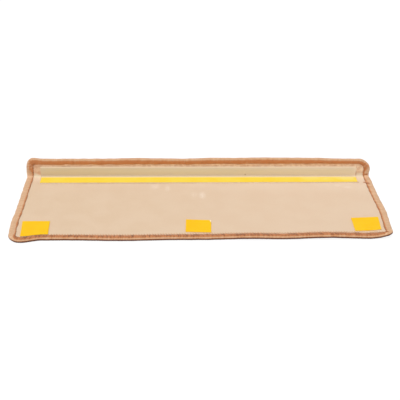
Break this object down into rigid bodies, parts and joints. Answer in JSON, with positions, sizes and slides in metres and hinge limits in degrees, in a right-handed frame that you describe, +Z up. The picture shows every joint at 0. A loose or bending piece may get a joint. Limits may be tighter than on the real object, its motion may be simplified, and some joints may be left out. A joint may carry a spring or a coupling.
{
  "type": "anti slip stair tread mat",
  "caption": "Carpet stair tread mat with a folded nosing lip, overlocked edge, plastic nosing angle and adhesive squares under yellow liners.",
  "frame": {"origin": "middle of the mat's footprint on the floor, with its pile down and its lip standing up", "axes": "+X along the step, +Y towards the lip, +Z up out of the backing"},
  "size_m": [0.6526, 0.2464, 0.0446],
  "materials": {
    "carpet_pile": "short cut pile, tan brown",
    "backing_cloth": "matt cream backing cloth",
    "edge_yarn": "overlocked yarn, orange brown",
    "clear_plastic": "cloudy olive plastic, softly glossy",
    "tape_film": "milky adhesive film",
    "liner_paper": "yellow release liner"
  },
  "bodies": {
    "root": {"pile_carpet": "carpet_pile", "backing_cloth": "backing_cloth", "edge_serging": "edge_yarn", "nosing_angle": "clear_plastic", "nosing_tape": "tape_film", "nosing_tape_liner": "liner_paper", "left_pad": "tape_film", "left_pad_liner": "liner_paper", "middle_pad": "tape_film", "middle_pad_liner": "liner_paper", "right_pad": "tape_film", "right_pad_liner": "liner_paper"}
  },
  "joints": []
}
